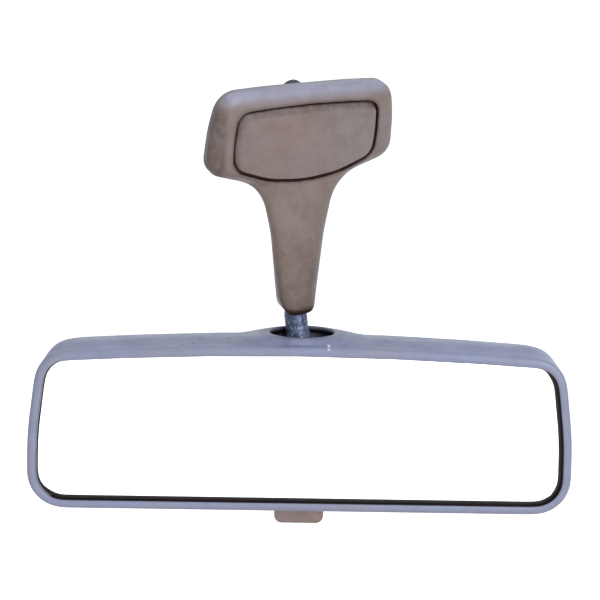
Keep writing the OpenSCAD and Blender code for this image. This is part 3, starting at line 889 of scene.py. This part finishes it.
def neck():
    """The ball, its flared collar and the cast neck, up into the stem's end."""
    shape = Shape()
    side, fore = basis(NECK_UP)
    angles = np.linspace(0, math.tau, NECK_SIDES, endpoint=False)
    around = np.linspace(0.02, math.pi - 0.66, 18)
    profile = [(BALL_R * math.sin(a), -BALL_R * math.cos(a)) for a in around] + NECK_PROFILE
    rings, dark = [], []
    for r, up in profile:
        lean = 0.3 * smooth(17, 12, up) * (up > 9)
        centre = BALL_IN_ARM + NECK_UP * up + side * lean
        radius = r + neck_lump(angles, up)
        across, ahead = np.outer(radius * np.cos(angles), side), np.outer(radius * np.sin(angles), fore)
        rings.append(centre + across + ahead)
        dark.append(0.5 * float(smooth(*SOCKET_SHADE, up)))
    shape.solid(rings, dark=dark)
    return shape.piece("neck", ARM, "arm", ["ball_stud"], CAST_NECK, sharp=60)


# ---- tab ----
TAB_ROUND = 3.4             # round of the tab's lower corners
TAB_UPPER_ROUND = 0.8
TAB_POINTS = 200
TAB_FRONT, TAB_BACK = 1.35, 5.0     # the plate's faces, behind the lever's foremost point
TAB_EDGE = 1.5              # how far the plate's faces are pulled in by its rounded edge
BARREL_R = 3.1
BARREL_EDGE = (0.4, 0.5)    # round of the barrel's ends, along and across
FINGER_HALF = (3.0, 1.2)
FINGER_RISE = [(1, 1.0), (7.6, 1.0), (8.3, 0.75), (8.6, 0.35)]  # height over the pin, share of the thickness


def tab_plate(shape, low, half, pin):
    """The plate under the barrel, with a rounded edge and grime along its lower end."""
    corners = [(half, low[2], TAB_ROUND), (half, pin[2], TAB_UPPER_ROUND),
               (-half, pin[2], TAB_UPPER_ROUND), (-half, low[2], TAB_ROUND)]
    line = softened(spaced(rounded(corners), TAB_POINTS, closed=True), 1.2)
    normal = outward(line)
    front, back = low[1] + TAB_FRONT, low[1] + TAB_BACK
    mid, thick = (front + back) / 2, (back - front) / 2
    core = line * 0.02 + [0, (low[2] + pin[2]) / 2 * 0.98]
    rings = [at_depth(core, front - 0.25)]
    for a in np.linspace(0, 1, 9) * math.pi:
        inset = TAB_EDGE * (1 - math.sin(a) ** 0.8)
        rings.append(at_depth(line - normal * inset, mid - thick * math.cos(a)))
    rings.append(at_depth(core, back + 0.1))
    dirt = [0.45 * smooth(low[2] + 2.6, low[2] + 0.2, r[:, 2]) for r in rings]
    shape.solid(rings, dirt=dirt, haze=[0.8] * len(rings))


def tab_barrel(shape, half, pin):
    """The barrel that turns on the pin."""
    angles = np.linspace(0, math.tau, 40, endpoint=False)
    along, across = BARREL_EDGE
    small = BARREL_R - across
    ends = [(-half, small), (-half + along, BARREL_R), (half - along, BARREL_R), (half, small)]
    circle = np.stack([0 * angles, np.cos(angles), np.sin(angles)], -1)
    tube = [circle * r + [x, pin[1], pin[2]] for x, r in ends]
    shape.solid(tube, haze=[0.8] * len(tube))


def tab_finger(shape, pin):
    """The finger that reaches up to the spring."""
    corners = [(FINGER_HALF[0] * x, FINGER_HALF[1] * y) for x, y in ((1, 1), (-1, 1), (-1, -1), (1, -1))]
    rings = [[[x, pin[1] + y * share, pin[2] + up] for x, y in corners] for up, share in FINGER_RISE]
    shape.solid(rings)


def tab():
    """The day and night tab: a soft-edged plate under a barrel that turns on the pin."""
    shape = Shape()
    low, high = (HEAD.back(np.array(c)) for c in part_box("toggle_lever"))
    pin = JOINTS["lever_flip"] - HEAD.origin
    half = (high[0] - low[0]) / 2
    tab_plate(shape, low, half, pin)
    tab_barrel(shape, half, pin)
    tab_finger(shape, pin)
    return shape.piece("tab", HEAD, "lever", ["toggle_lever"], TAB_PLASTIC, sharp=50)


# ---- studio ----
# name, place, size, power and colour of each light
LIGHTS = [("top", (0.05, -0.35, 1.1), (1.2, 0.9), 5.6, (0.80, 0.88, 1.0)),
          ("key", (0.62, -1.05, 0.35), (0.8, 0.8), 11.0, (0.92, 0.95, 1.0)),
          ("bounce", (-0.2, -0.8, -0.6), (1.4, 0.8), 5.5, (1.0, 0.88, 0.80))]
LIT_POINT = (0, 0, -0.09)   # every light faces it
SKY = ((0.80, 0.87, 1.0, 1), 0.28)      # colour and strength
PALE = (0.93, 0.94, 0.95, 1)
PALE_GLOW = 0.95
FLOOR_DROP = 0.12           # from the mirror's lowest point down to the floor
SWEEP_REACH, SWEEP_TURN = 2.4, 0.6
SWEEP_MIDDLE = 0.01         # radius of the open middle of the floor and of the ceiling
SWEEP_WALL, SWEEP_SHOULDER, SWEEP_TOP = 3.4, 4.6, 4.9   # heights over the floor
EYE = (-7.4, -488.0, 136.0)             # in the head's frame, mm
GAZE = (9.0, 0.7, 1.1)      # degrees down, to the right and of roll
HALF_VIEW = 15.0            # half of the field of view, degrees
SENSOR = 36


def area_light(name, at, size, power, colour):
    data = bpy.data.lights.new(name, "AREA")
    data.shape = "RECTANGLE"
    data.size, data.size_y = size
    data.energy = power
    data.color = colour
    obj = bpy.data.objects.new(name, data)
    bpy.context.scene.collection.objects.link(obj)
    obj.location = at
    obj.rotation_mode = "QUATERNION"
    gaze = Vector(LIT_POINT) - Vector(at)
    obj.rotation_quaternion = gaze.to_track_quat("-Z", "Y")


def studio_material(name, colour, glow):
    look = Look(name, Roughness=0.9, Specular_IOR_Level=0.1, Emission_Strength=glow)
    look.shader.inputs["Emission Color"].default_value = colour
    look.shader.inputs["Base Color"].default_value = colour
    return look.material


def stage():
    """A pale floor that sweeps up on all sides into a pale round backdrop, open at its very middle."""
    low = cad_box[0].z - FLOOR_DROP
    bend = [(math.sin(a), 1 - math.cos(a)) for a in np.linspace(0, math.pi / 2, 14)]
    line = [(SWEEP_MIDDLE, low)] + [(SWEEP_REACH + SWEEP_TURN * x, low + SWEEP_TURN * z) for x, z in bend]
    line += [(SWEEP_REACH + SWEEP_TURN, low + SWEEP_WALL), (SWEEP_REACH * 0.5, low + SWEEP_SHOULDER),
             (SWEEP_MIDDLE, low + SWEEP_TOP)]
    around = np.linspace(0, math.tau, 96, endpoint=False)
    points = [(r * math.cos(a), r * math.sin(a), z) for r, z in line for a in around]
    n = len(around)
    faces = [(k * n + i, k * n + (i + 1) % n, (k + 1) * n + (i + 1) % n, (k + 1) * n + i)
             for k in range(len(line) - 1) for i in range(n)]
    mesh = bpy.data.meshes.new("sweep")
    mesh.from_pydata(points, [], faces)
    mesh.polygons.foreach_set("use_smooth", [True] * len(mesh.polygons))
    mesh.materials.append(studio_material("pale_sweep", PALE, PALE_GLOW))
    obj = bpy.data.objects.new("sweep", mesh)
    bpy.context.scene.collection.objects.link(obj)
    obj.visible_diffuse = False
    obj.visible_shadow = False


def lights():
    """Soft light from above, from the right and from below, and a dim sky."""
    world = bpy.data.worlds.new("studio")
    bpy.context.scene.world = world
    world.use_nodes = True
    sky = world.node_tree.nodes["Background"]
    sky.inputs["Color"].default_value, sky.inputs["Strength"].default_value = SKY
    for light in LIGHTS:
        area_light(*light)


def camera():
    """The eye is above the head's middle, a little to its left, and looks slightly down."""
    eye = HEAD.origin + np.array(EYE)
    down, side, roll = (math.radians(a) for a in GAZE)
    ahead = np.array([math.sin(side) * math.cos(down), math.cos(side) * math.cos(down), -math.sin(down)])
    right = np.array([math.cos(side), -math.sin(side), 0])
    up = np.cross(right, ahead)
    right, up = right * math.cos(roll) + up * math.sin(roll), up * math.cos(roll) - right * math.sin(roll)
    data = bpy.data.cameras.new("eye")
    data.sensor_width = SENSOR
    data.lens = SENSOR / 2 / math.tan(math.radians(HALF_VIEW))
    data.clip_start, data.clip_end = 0.01, 20
    obj = bpy.data.objects.new("eye", data)
    bpy.context.scene.collection.objects.link(obj)
    rows = [[right[i], up[i], -ahead[i], eye[i] * MM] for i in range(3)]
    obj.matrix_world = Matrix(rows + [[0, 0, 0, 1]])
    bpy.context.scene.camera = obj


# ---- what everything is made of ----
# Scratches and chips, each with its frame, its two ends, its width and its strength
STEM_MARKS = [(ARM, (1.5, -19.3, -84), (7.5, -18.0, -83.4), 0.5, 0.9),
              (ARM, (2.9, -14.4, -50), (3.2, -14.4, -50.4), 0.5, 0.9)]
RIM_SPECKS = [(HEAD, (-54.4, 4.6, 36.7), (-52.9, 4.6, 36.7), 0.7, 0.9),
              (HEAD, (-49.5, 6.5, 37.2), (-48.7, 6.5, 37.3), 0.6, 0.8)]
RIM_CHIPS = [(HEAD, (11.9, 0.8, 36.2), (11.9, 3.6, 37.3), 0.85, 1.0),
             (HEAD, (11.9, 3.6, 37.3), (10.4, 6.5, 37.9), 0.75, 1.0),
             (HEAD, (11.9, 3.6, 37.3), (13.4, 6.5, 37.9), 0.75, 1.0),
             (HEAD, (-20.2, 8.0, 38.2), (-17.5, 14.2, 39.3), 0.4, 0.5)]
# The blue in the head's colour stands in for blue skylight: painted light on grey plastic.
HOUSING_PLASTIC = moulded_plastic("housing_paint", srgb(131, 137, 163), srgb(136, 139, 158),
                                  RIM_SPECKS, RIM_CHIPS)
ARM_PLASTIC = moulded_plastic("arm_moulding", srgb(128, 115, 110), srgb(122, 106, 97), STEM_MARKS)
CAP_PLASTIC = moulded_plastic("cap_moulding", srgb(131, 123, 121), srgb(131, 113, 106))
TAB_PLASTIC = moulded_plastic("tab_moulding", srgb(134, 119, 115), srgb(138, 114, 100))
CAST_NECK = cast_neck()
NODE_LOOKS = {
    "arm_plastic": ARM_PLASTIC, "cap_plastic": CAP_PLASTIC, "housing_plastic": HOUSING_PLASTIC,
    "tab_plastic": TAB_PLASTIC, "cast_metal": CAST_NECK,
    "spring_steel": metal("spring_steel", srgb(112, 114, 118), srgb(70, 72, 76)),
    "screw_steel": metal("screw_steel", srgb(150, 150, 152), srgb(96, 96, 98), rust=0.5),
    "peg_rubber": soft_black("peg_rubber", srgb(30, 32, 42), srgb(74, 78, 98)),
    "nylon": nylon("nylon", srgb(196, 192, 178), srgb(150, 140, 120)),
    "socket_plastic": soft_black("socket_plastic", srgb(20, 20, 24), srgb(52, 50, 54)),
    "glass": mirror_face(),
    "silvering": metal("silvering", srgb(66, 68, 72), srgb(46, 46, 50), rust=0.1),
    "foam": soft_black("foam", srgb(34, 35, 38), srgb(60, 60, 62), (0.8, 0.95), 0.9),
    "seal_rubber": soft_black("seal_rubber", srgb(24, 15, 16), srgb(46, 32, 30)),
}


def dress_nodes():
    """Gives every CAD node that stays the look of its slot in the record."""
    for row in frame["record"]["subparts"]:
        node = frame["nodes"][row["node"]]
        node.data.materials.clear()
        node.data.materials.append(NODE_LOOKS[row["material_slot"]])


def main():
    bpy.context.scene.view_settings.view_transform = "Standard"
    camera()
    dress_nodes()
    housing()
    arm()
    cap()
    neck()
    tab()
    gasket()
    lights()
    stage()


main()
